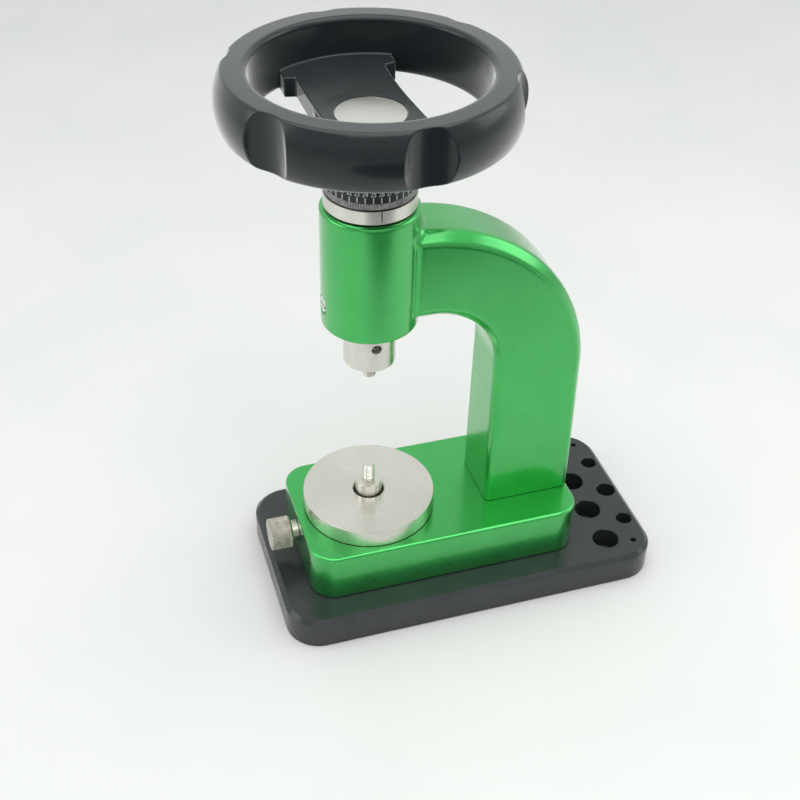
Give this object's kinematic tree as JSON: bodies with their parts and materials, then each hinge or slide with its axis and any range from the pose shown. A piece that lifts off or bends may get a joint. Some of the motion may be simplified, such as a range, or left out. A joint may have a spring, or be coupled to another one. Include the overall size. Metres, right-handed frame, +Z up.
{
  "type": "watch case press",
  "caption": "Bench press for watch crystals and case backs: handwheel and lead screw on a C-frame, over an anvil disc with a die post.",
  "frame": {"origin": "where the spindle's axis meets the base plate's flat underside", "axes": "+X along the base from the spindle towards the column and the tool sockets, +Y across the base, +Z up along the spindle"},
  "size_m": [0.2049, 0.1252, 0.2757],
  "materials": {
    "green_coat": "satin metallic green coating",
    "black_coat": "glossy black coating",
    "wheel_black": "glossy black moulding",
    "dial_black": "black anodised, filled white graduations",
    "nickel": "satin nickel plate",
    "steel": "machined",
    "bronze": "turned bronze",
    "rubber": "matt"
  },
  "bodies": {
    "frame": {"base_plate": "black_coat", "base_block": "green_coat", "c_frame": "green_coat", "plate_screw_1": "steel", "plate_screw_2": "steel", "plate_screw_3": "steel", "plate_screw_4": "steel", "frame_screw_1": "steel", "frame_screw_2": "steel", "frame_dowel_1": "steel", "frame_dowel_2": "steel", "post_bush": "steel", "head_collar": "nickel", "ram_bush": "bronze", "key_screw": "nickel", "thrust_washer": "bronze"},
    "wheel": {"handwheel": "wheel_black", "lead_screw": "steel", "wheel_key": "steel", "wheel_nut": "steel", "wheel_washer": "steel", "hub_cap": "nickel", "dial_friction_ring": "rubber"},
    "dial": {"dial_ring": "dial_black"},
    "ram": {"ram": "nickel", "ram_nut": "bronze"},
    "chuck_screw_body": {"chuck_screw": "steel"},
    "stud_body": {"upper_stud": "nickel"},
    "anvil": {"anvil_disc": "nickel"},
    "post": {"die_post": "nickel"},
    "pad": {"clamp_pad": "bronze"},
    "thumb": {"thumb_screw": "nickel"}
  },
  "joints": [
    {"name": "handwheel_turn", "type": "hinge", "parent": "frame", "child": "wheel", "pos_m": [0, 0, 0.24], "axis": [0, 0, -1], "range_deg": [0, 3600]},
    {"name": "dial_zero", "type": "hinge", "parent": "wheel", "child": "dial", "pos_m": [0, 0, 0.229], "axis": [0, 0, 1], "continuous": true},
    {"name": "ram_feed", "type": "slide", "parent": "frame", "child": "ram", "axis": [0, 0, -1], "range_m": [0, 0.03]},
    {"name": "chuck_screw_out", "type": "slide", "parent": "ram", "child": "chuck_screw_body", "axis": [0, -1, 0], "range_m": [0, 0.0015]},
    {"name": "upper_stud_out", "type": "slide", "parent": "ram", "child": "stud_body", "axis": [0, 0, -1], "range_m": [0, 0.012]},
    {"name": "anvil_turn", "type": "hinge", "parent": "frame", "child": "anvil", "pos_m": [0, 0, 0.047], "axis": [0, 0, 1], "continuous": true},
    {"name": "post_lift", "type": "slide", "parent": "frame", "child": "post", "axis": [0, 0, 1], "range_m": [0, 0.01]},
    {"name": "clamp_pad_out", "type": "slide", "parent": "frame", "child": "pad", "axis": [-1, 0, 0], "range_m": [0, 0.002]},
    {"name": "thumb_screw_turn", "type": "hinge", "parent": "pad", "child": "thumb", "pos_m": [-0.045, 0, 0.0325], "axis": [-1, 0, 0], "range_deg": [0, 720]}
  ],
  "couplings": [
    {"joint": "ram_feed", "follows": "handwheel_turn", "m_per_rad": 0.00047746},
    {"joint": "clamp_pad_out", "follows": "thumb_screw_turn", "m_per_rad": 0.00015915}
  ]
}
